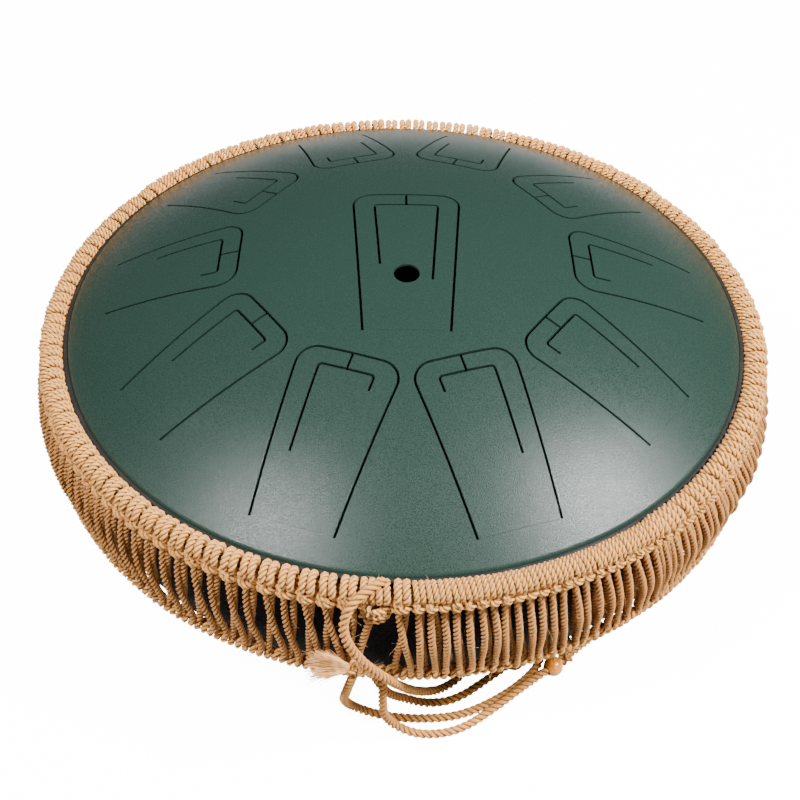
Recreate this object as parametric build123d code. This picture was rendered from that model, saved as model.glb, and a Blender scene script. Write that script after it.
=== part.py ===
"""Steel tongue drum with a knotted jute net round its rim. Millimetres, +Z up, the player at -Y."""

import math
import os

from build123d import *

# Overall sizes
rim_radius = 172.0
rim_height = 104.0
dome_rise = 48.0
sheet = 1.2
lip_stand = 0.4
shoulder_bend = 3.0

# Bowl
bowl_corner = 46.0
foot_height = 6.0
flange_drop = 7.0
lip_depth = 14.0
flange_lap = 3.0
port_radius = 35.0
port_neck = 10.0

# Tongues: slot width, and the gap where a tongue hinges on the dome
slot = 1.2
root_gap = 0.05
tip_corner = 9.5
root_half = 19.5
inner_half = 13.4
inner_corner = 1.6
inner_flare = 0.6

# The tongues are laid out on a drum of this radius, and their plan grows with the rim
layout_radius = 172.0

# name, angle from the player, tip, root, half width at the tip, cross slot, long leg end, short leg end
tongue_pairs = [
    ("front", 18, 79.5, 159.3, 25.2, 88.1, 130.5, 96.0),
    ("near", 54, 81.4, 152.0, 24.6, 90.5, 127.7, 98.3),
    ("mid", 90, 83.6, 151.0, 24.4, 93.6, 128.3, 102.1),
    ("far", 126, 84.6, 149.0, 24.0, 95.2, 125.6, 104.4),
    ("back", 162, 83.6, 142.0, 23.6, 93.0, 120.5, 101.1),
]

# Centre tongue, free end away from the player
centre_tip = 38.4
centre_root = -63.2
centre_tip_half = 27.9
centre_root_half = 20.6
centre_cross = 28.3
centre_inner_half = 16.4
centre_left_half = 12.96
centre_right_half = 12.46
centre_left_leg = -21.0
centre_right_leg = -31.5
sound_hole = 12.6
sound_hole_y = -27.7

# Trim ring, feet and their screws
trim_width = 2.4
trim_height = 6.2
trim_bend = 1.6
trim_overhang = 0.2
weld_height = 2.2
foot_radius = 12.0
foot_inset = 16.6
foot_edge = 1.2
screw_radius = 2.0
screw_head = 3.8
screw_head_height = 2.2
screw_recess = 0.8
screw_slot = 0.8
screw_fit = 0.1
head_fit = 0.4
nut_radius = 4.0
nut_height = 3.0

# Net: two hoops, the cord wound on them, and the strands between them
cord_core = 2.2
hitch_wind = 2.9
edge_wind = 2.7
wind_fit = 0.1
hoop_stand = 0.3
lower_stand = 2.5
upper_drop = 3.0
upper_tilt = 3.0
lower_drop = 52.5
unit_pitch = 8.38
hitch_width = 6.4
edge_width = 6.6
edge_round = 1.2
collar_width = 7.2
collar_depth = 4.4
collar_height = 4.6
strand_radius = 1.5
strand_top_gap = 1.75
strand_foot_gap = 2.1
strand_bite = 0.3
knot_angle = -4.0
knot_length = 12.0
knot_round = 2.0
knot_margin = 3.8
knot_collar_depth = 6.4
knot_collar_height = 9.0

# Free cords, with the points they pass in order
tie_radius = 2.0
bead_radius = 4.75
bead_hole = 2.1
bead_flat = 0.9
stopper_radius = 3.4
tassel_knot_radius = 3.4
tassel_knot_offset = (0.6, 0.4, 3.6)
tassel_neck = 2.2
tassel_end = 5.2
tassel_way = (-15.5, 1.5, 1.2)

tie_loop_points = [
    (-9.0, -178.8, 110.0),
    (-21.5, -187.0, 109.0),
    (-26.8, -192.3, 96.0),
    (-22.5, -193.2, 81.0),
    (-14.5, -192.0, 66.0),
    (-4.0, -188.0, 49.0),
    (7.0, -173.0, 19.0),
    (20.5, -160.5, 2.0),
    (33.0, -148.5, 2.0),
    (37.5, -132.0, 2.0),
    (47.5, -122.5, 2.0),
    (60.5, -122.5, 2.0),
    (69.5, -132.5, 2.0),
    (68.0, -145.5, 2.0),
    (57.5, -157.0, 2.0),
    (42.0, -167.8, 2.0),
    (26.0, -175.0, 2.0),
    (6.0, -176.4, 2.0),
    (-11.0, -174.6, 2.4),
    (-23.0, -176.0, 12.0),
    (-27.0, -184.0, 30.0),
    (-25.0, -191.0, 47.0),
    (-21.8, -192.2, 62.0),
]
tail_short_points = [
    (-14.5, -181.5, 50.0),
    (-9.0, -180.0, 30.0),
    (0.5, -171.5, 12.0),
    (12.0, -168.2, 2.0),
    (26.0, -166.0, 2.0),
    (41.5, -155.5, 3.6),
    (58.5, -143.0, 5.1),
]
tail_long_points = [
    (-8.5, -184.6, 50.0),
    (-10.0, -187.2, 28.0),
    (-4.5, -183.0, 8.0),
    (9.0, -185.0, 2.0),
    (27.0, -182.4, 2.0),
    (44.0, -171.8, 4.6),
    (60.0, -159.4, 6.2),
    (77.0, -146.2, 4.75),
    (92.0, -132.4, 2.4),
]
bead_short_place = (5, 0.79)
stopper_short_place = (5, 1.13)
bead_long_place = (6, 0.8)
stopper_long_place = (7, 0.2)

# What follows from the sizes above
centre_outline = (centre_tip, centre_root, centre_tip_half, centre_root_half)
centre_inner_points = [
    (centre_left_leg, centre_left_half),
    (centre_cross, centre_inner_half),
    (centre_cross, -centre_inner_half),
    (centre_right_leg, -centre_right_half),
]
lip_radius = rim_radius + lip_stand
bowl_radius = lip_radius + trim_width - trim_overhang
hitch_radius = cord_core + hitch_wind
edge_radius = cord_core + edge_wind
hoop_radius = bowl_radius + hoop_stand + hitch_radius
lower_hoop_radius = bowl_radius + lower_stand + edge_radius
net_units = round(2 * math.pi * hoop_radius / unit_pitch)
foot_circle = bowl_radius - bowl_corner - foot_inset - foot_radius
tongue_scale = rim_radius / layout_radius
ring_root_half = root_half * tongue_scale
ring_inner_half = inner_half * tongue_scale
low = (Align.CENTER, Align.CENTER, Align.MIN)


def on_circle(radius, degrees, height):
    """A point on a level circle, at an angle from the player's side."""
    turn = math.radians(degrees)
    return Vector(radius * math.sin(turn), -radius * math.cos(turn), height)


def dome_sphere_radius():
    return (rim_radius**2 + dome_rise**2) / (2 * dome_rise)


def dome_centre_height():
    return rim_height + dome_rise - dome_sphere_radius()


def dome_height(radius, inset=0.0):
    """Height of the dome, inset below its outer face, at a distance from the middle."""
    ball = dome_sphere_radius() - inset
    return dome_centre_height() + math.sqrt(ball**2 - radius**2)


def under_dome(radius, inset, bottom, corner):
    """Half section of all that lies under the dome's sphere, with a rounded shoulder."""
    top = Vector(0, dome_height(0, inset))
    middle = Vector(radius / 2, dome_height(radius / 2, inset))
    shoulder = Vector(radius, dome_height(radius, inset))
    outline = ThreePointArc(top, middle, shoulder) + Polyline(shoulder, (radius, bottom), (0, bottom), top)
    face = make_face(outline)
    return fillet(face.vertices().group_by(Axis.X)[-1].sort_by(Axis.Y)[-1], corner)


def dome_blank():
    """The pressed dome with its short upright lip, before the tongues are cut."""
    bottom = rim_height - lip_depth
    outer = under_dome(lip_radius, 0, bottom, shoulder_bend)
    inner = under_dome(lip_radius - sheet, sheet, bottom - sheet, shoulder_bend - sheet)
    return revolve(Plane.XZ * (outer - inner), Axis.Z)


def prism(face):
    """A flat outline raised through the whole dome."""
    return extrude(Pos(0, 0, rim_height - lip_depth) * face, dome_rise + 2 * lip_depth)


def tongue_face(tip, root, tip_half, end_half, grow):
    """Plan outline of a tongue along +X, its tip at the small end, grown on its three free sides."""
    slope = (tip_half - end_half) / abs(root - tip)
    way = 1 if root > tip else -1
    tip_x = tip - way * grow
    points = [
        (tip_x, tip_half + slope * grow + grow),
        (root, end_half + grow),
        (root, -end_half - grow),
        (tip_x, -tip_half - slope * grow - grow),
    ]
    face = make_face(Polyline(*points, close=True))
    corners = face.vertices().sort_by(Axis.X)
    corners = corners[:2] if way > 0 else corners[-2:]
    return fillet(corners, tip_corner + grow)


def inner_slot(points, cross, link_from):
    """The slot inside a tongue, with the short link that joins it to the outer slot."""
    middle = FilletPolyline(*points, radius=inner_corner)
    groove = trace(middle, slot)
    link = trace(Line((cross, 0), (link_from, 0)), slot)
    return groove + link


def ring_inner_points(tip, root, tip_half, cross, long_leg, short_leg, side):
    """Corners of a ring tongue's inner slot, its long leg on the given side."""
    lean = (tip_half - ring_root_half) / (root - tip) * inner_flare
    return [
        (long_leg, side * (ring_inner_half - lean * (long_leg - cross))),
        (cross, side * ring_inner_half),
        (cross, -side * ring_inner_half),
        (short_leg, -side * (ring_inner_half - lean * (short_leg - cross))),
    ]


def ring_tongue(blank, angle, tip, root, tip_half, cross, long_leg, short_leg):
    """One tongue of the ring, and the opening it leaves in the dome."""
    side = 1 if angle > 0 else -1
    turn = Rot(0, 0, angle - 90)
    opening = prism(turn * tongue_face(tip, root, tip_half, ring_root_half, slot / 2))
    outline = turn * tongue_face(tip, root - root_gap, tip_half, ring_root_half, -slot / 2)
    points = ring_inner_points(tip, root, tip_half, cross, long_leg, short_leg, side)
    groove = turn * inner_slot(points, cross, tip - slot)
    return blank & prism(outline) - prism(groove), opening


def centre_tongue(blank):
    """The middle tongue with the sound hole, and the opening it leaves."""
    turn = Rot(0, 0, 90)
    tip, root, tip_half, end_half = [size * tongue_scale for size in centre_outline]
    opening = prism(turn * tongue_face(tip, root, tip_half, end_half, slot / 2))
    outline = turn * tongue_face(tip, root + root_gap, tip_half, end_half, -slot / 2)
    points = [(x * tongue_scale, y * tongue_scale) for x, y in centre_inner_points]
    groove = turn * inner_slot(points, points[1][0], tip + slot)
    hole = Pos(0, sound_hole_y * tongue_scale) * Circle(sound_hole / 2)
    return blank & prism(outline) - prism(groove) - prism(hole), opening


def bottom_shell():
    """The bowl with its inturned flange, the port with its neck, and the foot holes."""
    top = rim_height - flange_drop
    tall = top - foot_height
    outer = Pos(0, 0, foot_height) * Cylinder(bowl_radius, tall, align=low)
    outer = fillet(outer.edges().sort_by(Axis.Z)[0], bowl_corner)
    inner = Pos(0, 0, foot_height + sheet) * Cylinder(bowl_radius - sheet, tall - 2 * sheet, align=low)
    inner = fillet(inner.edges().sort_by(Axis.Z)[0], bowl_corner - sheet)
    bowl = outer - inner
    bowl -= Pos(0, 0, top - flange_lap) * Cylinder(lip_radius, 2 * flange_lap, align=low)
    bowl += Pos(0, 0, foot_height) * Cylinder(port_radius + sheet, port_neck, align=low)
    bowl -= Pos(0, 0, foot_height) * Cylinder(port_radius, 2 * port_neck, align=low)
    for place in foot_places():
        bowl -= Pos(place.X, place.Y, foot_height) * Cylinder(screw_radius + screw_fit, 2 * sheet, align=low)
    return bowl


def foot_places():
    return [on_circle(foot_circle, angle, 0) for angle in (180, 60, -60)]


def foot(place):
    """A rubber foot with a recess for its screw's head."""
    body = Cylinder(foot_radius, foot_height, align=low)
    body = fillet(body.edges().sort_by(Axis.Z)[0], foot_edge)
    body -= Cylinder(screw_radius + screw_fit, foot_height, align=low)
    body -= Cylinder(screw_head + head_fit, screw_recess + screw_head_height, align=low)
    return Pos(place.X, place.Y, 0) * body


def foot_screws():
    """A pan head screw up through each foot and the bowl."""
    head = Pos(0, 0, screw_recess) * Cylinder(screw_head, screw_head_height, align=low)
    head = fillet(head.edges().sort_by(Axis.Z)[0], screw_recess)
    under = screw_recess + screw_head_height
    shank = foot_height + sheet + nut_height + screw_radius - under
    one = head + Pos(0, 0, under) * Cylinder(screw_radius, shank, align=low)
    one -= Pos(0, 0, screw_recess) * Box(screw_head, screw_slot, screw_head_height)
    one -= Pos(0, 0, screw_recess) * Box(screw_slot, screw_head, screw_head_height)
    return Compound(children=[Pos(p.X, p.Y, 0) * one for p in foot_places()])


def foot_nuts():
    """A hexagon nut on each screw, inside the bowl."""
    flat = RegularPolygon(nut_radius, 6, major_radius=True) - Circle(screw_radius)
    one = extrude(Pos(0, 0, foot_height + sheet) * flat, nut_height)
    return Compound(children=[Pos(p.X, p.Y, 0) * one for p in foot_places()])


def rim_trim():
    """The soft ring that fills the step between the dome and the bowl."""
    flat = Pos(lip_radius + trim_width / 2, 0) * Rectangle(trim_width, trim_height)
    flat = fillet(flat.vertices().group_by(Axis.Y)[-1].sort_by(Axis.X)[-1], trim_bend)
    section = Plane.XZ * Pos(0, rim_height - flange_drop + trim_height / 2) * flat
    return revolve(section, Axis.Z)


def seam_weld():
    """The weld under the flange, inside the drum."""
    top = rim_height - flange_drop - sheet
    wall = bowl_radius - sheet
    flat = make_face(Polyline((lip_radius, top), (wall, top), (lip_radius, top - weld_height), close=True))
    return revolve(Plane.XZ * flat, Axis.Z)


def upper_place():
    """Where the upper hoop lies: its plane is a little lower at the back."""
    lean = math.degrees(math.asin(upper_tilt / hoop_radius))
    return Pos(0, 0, rim_height - upper_drop) * Rot(-lean, 0, 0)


def lower_height():
    return rim_height - lower_drop


def unit_angles():
    """Net units round the hoop, leaving out those that the start knot replaces."""
    step = 360 / net_units
    spread = math.degrees((knot_length / 2 + knot_margin) / hoop_radius)
    angles = [step * (i + 0.5) for i in range(net_units)]
    start = knot_angle % 360
    return [a for a in angles if abs(a - start) > spread]


def wound_sleeve(radius, width):
    """Cord wound on a hoop that runs along X, as a plain sleeve."""
    return Rot(0, 90, 0) * (Cylinder(radius, width) - Cylinder(cord_core + wind_fit, 2 * width))


def rounded_ends(sleeve, rounding):
    return fillet(sleeve.edges().filter_by(GeomType.CIRCLE).group_by(SortBy.RADIUS)[-1], rounding)


def collar(width, depth, height):
    """The turns that gather the strands under a hitch."""
    return Pos(0, 0, -hitch_radius - height / 2) * extrude(SlotOverall(width, depth), height)


def hitch():
    """Two turns of the cord round the hoop, with the collar that gathers them below."""
    keep_out = Rot(0, 90, 0) * Cylinder(cord_core + wind_fit, 2 * hitch_width)
    return wound_sleeve(hitch_radius, hitch_width) + collar(collar_width, collar_depth, collar_height) - keep_out


def around(shape, angles, radius):
    """Copies of a shape that faces -Y, set round a circle."""
    return [Rot(0, 0, a) * Pos(0, -radius, 0) * shape for a in angles]


def net_hitches():
    one = hitch()
    return Compound(children=[upper_place() * s for s in around(one, unit_angles(), hoop_radius)])


def net_edge_knots():
    """The lumps of cord round the lower hoop."""
    one = rounded_ends(wound_sleeve(edge_radius, edge_width), edge_round)
    return Compound(children=[Pos(0, 0, lower_height()) * s for s in around(one, unit_angles(), lower_hoop_radius)])


def strand(foot_point, head_point):
    run = head_point - foot_point
    return Plane(origin=foot_point, z_dir=run) * Cylinder(
        strand_radius, run.length, align=(Align.CENTER, Align.CENTER, Align.MIN)
    )


def net_strands():
    """The pair of strands that hangs from each hitch to the lower hoop."""
    strands = []
    top_gap = math.degrees(strand_top_gap / hoop_radius)
    low_gap = math.degrees(strand_foot_gap / hoop_radius)
    foot_z = lower_height() + edge_radius - strand_bite
    collar_foot = -hitch_radius - collar_height / 2 + strand_bite
    for angle in unit_angles():
        drop = upper_place() * Pos(on_circle(hoop_radius, angle, collar_foot))
        head_z = drop.position.Z
        for side in (-1, 1):
            low = on_circle(lower_hoop_radius, angle + side * low_gap, foot_z)
            high = on_circle(hoop_radius, angle + side * top_gap, head_z)
            strands.append(strand(low, high))
    return Compound(children=strands)


def upper_hoop():
    return upper_place() * Torus(hoop_radius, cord_core)


def lower_hoop():
    return Pos(0, 0, lower_height()) * Torus(lower_hoop_radius, cord_core)


def start_knot():
    """The large knot on the upper hoop where the free cords begin."""
    sleeve = rounded_ends(wound_sleeve(hitch_radius, knot_length), knot_round)
    keep_out = Rot(0, 90, 0) * Cylinder(cord_core + wind_fit, 2 * knot_length)
    knot = sleeve + collar(knot_length, knot_collar_depth, knot_collar_height) - keep_out
    return upper_place() * around(knot, [knot_angle], hoop_radius)[0]


def turn_radii(name, points):
    """A bend radius for every inner point: as wide as its two runs allow."""
    spots = [Vector(*p) for p in points]
    radii = []
    for before, here, after in zip(spots, spots[1:], spots[2:]):
        first = here - before
        second = after - here
        turn = math.radians(first.get_angle(second))
        radii.append(0.45 * min(first.length, second.length) / math.tan(turn / 2))
    print(name, "bend radii", [round(r, 1) for r in radii])
    return radii


def cord(name, points):
    """A round cord along straight runs joined by bends."""
    route = FilletPolyline(*points, radius=turn_radii(name, points))
    tube = sweep(Plane(origin=route @ 0, z_dir=route % 0) * Circle(tie_radius), path=route)
    section = math.pi * tie_radius**2
    print(name, "length", round(route.length, 1), "volume over section times length",
          round(tube.volume / (section * route.length), 4))
    return tube


def on_run(points, place):
    """A plane on a cord's route, at a share of one of its runs, looking along it."""
    run, share = place
    start = Vector(*points[run])
    way = Vector(*points[run + 1]) - start
    return Plane(origin=start + way * share, z_dir=way)


def bead(points, place):
    """A turned bead threaded on a cord."""
    body = Sphere(bead_radius) & Cylinder(bead_radius, 2 * bead_radius - bead_flat)
    return on_run(points, place) * (body - Cylinder(bead_hole, 20))


def stopper(points, place):
    """An overhand knot that keeps a bead on."""
    return on_run(points, place) * Sphere(stopper_radius)


def tassel_knot():
    return Pos(*tie_loop_points[-1]) * Pos(*tassel_knot_offset) * Sphere(tassel_knot_radius)


def tassel():
    """The frayed end, spreading sideways from its knot along the net."""
    root = Vector(*tie_loop_points[-1]) + Vector(*tassel_knot_offset)
    way = Vector(*tassel_way)
    start = root + way.normalized() * (tassel_knot_radius - 0.8)
    return Plane(origin=start, z_dir=way) * Cone(
        tassel_neck, tassel_end, way.length, align=(Align.CENTER, Align.CENTER, Align.MIN)
    )


def save(name, shape):
    export_step(shape, os.path.join("parts", name + ".step"))


def main():
    os.makedirs("parts", exist_ok=True)
    blank = dome_blank()
    shell = blank
    for name, angle, *plan in tongue_pairs:
        plan = [size * tongue_scale for size in plan]
        for side, sign in (("left", -1), ("right", 1)):
            tongue, opening = ring_tongue(blank, sign * angle, *plan)
            shell -= opening
            save("tongue_" + name + "_" + side, tongue)
    tongue, opening = centre_tongue(blank)
    shell -= opening
    save("tongue_centre", tongue)
    save("top_shell", shell)
    save("bottom_shell", bottom_shell())
    save("rim_trim", rim_trim())
    save("seam_weld", seam_weld())
    for name, place in zip(("foot_back", "foot_right", "foot_left"), foot_places()):
        save(name, foot(place))
    save("foot_screws", foot_screws())
    save("foot_nuts", foot_nuts())
    save("upper_hoop", upper_hoop())
    save("lower_hoop", lower_hoop())
    save("net_hitches", net_hitches())
    save("net_edge_knots", net_edge_knots())
    save("net_strands", net_strands())
    save("start_knot", start_knot())
    save("tie_loop", cord("tie_loop", tie_loop_points))
    save("tail_short", cord("tail_short", tail_short_points))
    save("tail_long", cord("tail_long", tail_long_points))
    save("bead_short", bead(tail_short_points, bead_short_place))
    save("bead_long", bead(tail_long_points, bead_long_place))
    save("stopper_short", stopper(tail_short_points, stopper_short_place))
    save("stopper_long", stopper(tail_long_points, stopper_long_place))
    save("tassel_knot", tassel_knot())
    save("tassel", tassel())


main()
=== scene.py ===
import math
import random

import bmesh
import bpy
from mathutils import Matrix, Vector


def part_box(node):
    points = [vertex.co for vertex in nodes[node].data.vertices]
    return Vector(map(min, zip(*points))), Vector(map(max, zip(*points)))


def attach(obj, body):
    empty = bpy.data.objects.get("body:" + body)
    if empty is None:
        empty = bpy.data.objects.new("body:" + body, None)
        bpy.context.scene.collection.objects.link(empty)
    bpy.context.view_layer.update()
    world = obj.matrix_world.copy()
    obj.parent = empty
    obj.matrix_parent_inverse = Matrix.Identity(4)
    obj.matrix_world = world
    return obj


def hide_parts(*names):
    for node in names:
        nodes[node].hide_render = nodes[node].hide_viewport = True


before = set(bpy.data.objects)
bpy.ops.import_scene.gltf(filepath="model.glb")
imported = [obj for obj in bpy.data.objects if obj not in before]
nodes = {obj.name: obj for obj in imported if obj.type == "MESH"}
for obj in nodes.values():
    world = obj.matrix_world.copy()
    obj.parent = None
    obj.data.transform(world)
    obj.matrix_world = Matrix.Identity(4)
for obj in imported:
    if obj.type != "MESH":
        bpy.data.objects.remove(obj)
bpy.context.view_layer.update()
scene = bpy.context.scene
chance = random.Random(7)

camera = {
    "lens": 58.04,
    "aim": (0, 0, 0.104),
    "distance": 0.6727,
    "azimuth": -1.144,
    "elevation": 40.716,
    "roll": 1.504,
    "shift": (-0.00584, -0.11334),
    "clip": (0.01, 20),
}


def makeCamera(settings):
    turn = math.radians(settings["azimuth"])
    rise = math.radians(settings["elevation"])
    back = Vector((math.sin(turn) * math.cos(rise), -math.cos(turn) * math.cos(rise), math.sin(rise)))
    data = bpy.data.cameras.new("camera")
    data.lens = settings["lens"]
    data.shift_x, data.shift_y = settings["shift"]
    data.clip_start, data.clip_end = settings["clip"]
    obj = bpy.data.objects.new("camera", data)
    scene.collection.objects.link(obj)
    obj.location = Vector(settings["aim"]) + back * settings["distance"]
    look = back.to_track_quat("Z", "Y").to_matrix()
    obj.rotation_euler = (look @ Matrix.Rotation(math.radians(settings["roll"]), 3, "Z")).to_euler()
    scene.camera = obj


# cord section: three plies side by side
def plySection(name, steps):
    curve = bpy.data.curves.new(name, "CURVE")
    curve.dimensions = "2D"
    count = 3 * steps
    spline = curve.splines.new("POLY")
    spline.points.add(count - 1)
    spline.use_cyclic_u = True
    ply, reach = 0.54, 0.46  # a ply's radius and its distance from the middle, as shares of the cord's radius
    for i, point in enumerate(spline.points):
        turn = 2 * math.pi * i / count
        lean = (turn + math.pi / 3) % (2 * math.pi / 3) - math.pi / 3  # angle from the middle of the ply
        out = reach * math.cos(lean) + math.sqrt(ply**2 - (reach * math.sin(lean)) ** 2)
        point.co = (out * math.cos(turn), out * math.sin(turn), 0, 1)
    obj = bpy.data.objects.new(name, curve)
    scene.collection.objects.link(obj)
    obj.hide_render = True
    return obj


# one length of cord, which turns its plies once in each lay along the way
def addRun(curve, points, radius, lay, kind, phase=0.0, wobble=0.0, steps=3):
    spline = curve.splines.new(kind)
    spline.points.add(len(points) - 1)
    along = 0.0
    last = Vector(points[0])
    for point, place in zip(spline.points, points):
        place = Vector(place)
        along += (place - last).length
        last = place
        point.co = (*place, 1)
        point.radius = radius * (1 + chance.uniform(-wobble, wobble))
        point.tilt = phase + 2 * math.pi * along / lay
    if kind == "NURBS":
        spline.order_u = min(4, len(points))
        spline.use_endpoint_u = True
        spline.resolution_u = steps


def curveMesh(curve, name, section):
    curve.bevel_mode = "OBJECT"
    curve.bevel_object = section
    curve.use_fill_caps = True
    return evaluatedMesh(curve, name)


# the curve with its section, as a mesh
def evaluatedMesh(curve, name):
    curve.dimensions = "3D"
    obj = bpy.data.objects.new(name + "_line", curve)
    scene.collection.objects.link(obj)
    depsgraph = bpy.context.evaluated_depsgraph_get()
    mesh = bpy.data.meshes.new_from_object(obj.evaluated_get(depsgraph))
    mesh.name = name
    bpy.data.objects.remove(obj)
    return mesh


# a smooth line past a cord's points
def routeLine(points, step):
    curve = bpy.data.curves.new("route", "CURVE")
    spline = curve.splines.new("NURBS")
    spline.points.add(len(points) - 1)
    for point, place in zip(spline.points, points):
        point.co = (*place, 1)
    spline.order_u = 3
    spline.use_endpoint_u = True
    longest = max((Vector(b) - Vector(a)).length for a, b in zip(points, points[1:]))
    curve.resolution_u = max(4, round(longest / step))
    mesh = evaluatedMesh(curve, "route")
    return [v.co.copy() for v in mesh.vertices]


def lengthOf(points):
    return sum((b - a).length for a, b in zip(points, points[1:]))


def addPiece(name, mesh, material, replaced=()):
    obj = bpy.data.objects.new(name, mesh)
    scene.collection.objects.link(obj)
    mesh.materials.clear()
    mesh.materials.append(material)
    mesh.polygons.foreach_set("use_smooth", [True] * len(mesh.polygons))
    mesh.update()
    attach(obj, "drum")
    if replaced:
        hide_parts(*replaced)
    return obj


# the UV map's first direction, in centimetres along the cord
def scaleAlong(mesh, centimetres):
    layer = mesh.uv_layers[0].data
    values = [0.0] * (2 * len(layer))
    layer.foreach_get("uv", values)
    values[0::2] = [value * centimetres for value in values[0::2]]
    layer.foreach_set("uv", values)


# the three free cords, from the start knot to the beads and the tassel
tieCord = {
    "radius": 0.002,
    "swell": 1.1,
    "lay": 0.0094,
    "wobble": 0.035,
    "step": 0.0009,
    "loop": [
        (-0.009, -0.1788, 0.11),
        (-0.0215, -0.187, 0.109),
        (-0.0268, -0.1923, 0.096),
        (-0.0225, -0.1932, 0.081),
        (-0.0145, -0.192, 0.066),
        (-0.004, -0.188, 0.049),
        (0.007, -0.173, 0.019),
        (0.0205, -0.1605, 0.002),
        (0.033, -0.1485, 0.002),
        (0.0375, -0.132, 0.002),
        (0.0475, -0.1225, 0.002),
        (0.0605, -0.1225, 0.002),
        (0.0695, -0.1325, 0.002),
        (0.068, -0.1455, 0.002),
        (0.0575, -0.157, 0.002),
        (0.042, -0.1678, 0.002),
        (0.026, -0.175, 0.002),
        (0.006, -0.1764, 0.002),
        (-0.011, -0.1746, 0.0024),
        (-0.023, -0.176, 0.012),
        (-0.027, -0.184, 0.03),
        (-0.025, -0.191, 0.047),
        (-0.0218, -0.1922, 0.062),
    ],
    "short": [
        (-0.0145, -0.1815, 0.05),
        (-0.009, -0.18, 0.03),
        (0.0005, -0.1715, 0.012),
        (0.012, -0.1682, 0.002),
        (0.026, -0.166, 0.002),
        (0.0415, -0.1555, 0.0036),
        (0.0585, -0.143, 0.0051),
    ],
    "long": [
        (-0.0085, -0.1846, 0.05),
        (-0.01, -0.1872, 0.028),
        (-0.0045, -0.183, 0.008),
        (0.009, -0.185, 0.002),
        (0.027, -0.1824, 0.002),
        (0.044, -0.1718, 0.0046),
        (0.06, -0.1594, 0.0062),
        (0.077, -0.1462, 0.00475),
        (0.092, -0.1324, 0.0024),
    ],
    "lengths": (0.382, 0.111, 0.157),
}


def makeTieCords(settings, material, section):
    made = {}
    for key, node in (("loop", "tie_loop"), ("short", "tail_short"), ("long", "tail_long")):
        name = node + "_cord"
        line = routeLine(settings[key], settings["step"])
        curve = bpy.data.curves.new(name, "CURVE")
        radius = settings["radius"] * settings["swell"]
        addRun(curve, line, radius, settings["lay"], "POLY", wobble=settings["wobble"])
        mesh = curveMesh(curve, name, section)
        for vertex in mesh.vertices:
            vertex.co.z = max(vertex.co.z, 0)  # pressed flat where it lies on the floor
        scaleAlong(mesh, lengthOf(line) * 100)
        made[key] = (addPiece(name, mesh, material, [node]), line)
    return made


# what every shader tree is made from
def newGroup(name, inputs, outputs):
    tree = bpy.data.node_groups.new(name, "ShaderNodeTree")
    for label, kind, value in inputs:
        socket = tree.interface.new_socket(label, in_out="INPUT", socket_type=kind)
        socket.default_value = value
    for label, kind in outputs:
        tree.interface.new_socket(label, in_out="OUTPUT", socket_type=kind)
    return tree, tree.nodes.new("NodeGroupInput"), tree.nodes.new("NodeGroupOutput")


def mathNode(tree, operation, first, second=None, clamp=False):
    node = tree.nodes.new("ShaderNodeMath")
    node.operation = operation
    node.use_clamp = clamp
    for socket, value in zip(node.inputs, (first, second)):
        if isinstance(value, (int, float)):
            socket.default_value = value
        elif value is not None:
            tree.links.new(value, socket)
    return node.outputs[0]


def noiseNode(tree, vector, scale, detail=2.0, roughness=0.5):
    node = tree.nodes.new("ShaderNodeTexNoise")
    node.inputs["Scale"].default_value = scale
    node.inputs["Detail"].default_value = detail
    node.inputs["Roughness"].default_value = roughness
    tree.links.new(vector, node.inputs["Vector"])
    return node.outputs["Fac"]


def remap(tree, value, low, high, start=0.0, end=1.0):
    node = tree.nodes.new("ShaderNodeMapRange")
    for label, number in (("From Min", low), ("From Max", high), ("To Min", start), ("To Max", end)):
        node.inputs[label].default_value = number
    tree.links.new(value, node.inputs["Value"])
    return node.outputs["Result"]


def mixColour(tree, share, first, second):
    node = tree.nodes.new("ShaderNodeMix")
    node.data_type = "RGBA"
    for index, value in ((0, share), (6, first), (7, second)):
        if isinstance(value, (int, float)):
            node.inputs[index].default_value = value
        elif isinstance(value, tuple):
            node.inputs[index].default_value = (*value, 1)
        else:
            tree.links.new(value, node.inputs[index])
    return node.outputs[2]


def objectPlace(tree):
    return tree.nodes.new("ShaderNodeTexCoord").outputs["Object"]


# twisted fibre: groove between plies (its mask also carries the painted shade in the grooves), streaks along
# the fibre, slow and fine change of tone
fibre = {
    "plies": 3.0,
    "groove": 0.27,  # from the middle of a groove, where a ply is 1 wide
    "along": 2.6,
    "streak": (2.2, 4.0, 0.62),  # of this noise and those below: scale, detail, roughness
    "slow": (110.0, 2.0),
    "fine": (900.0, 2.0),
    "slowShare": 0.6,
    "grooveDepth": 0.6,
}


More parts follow.
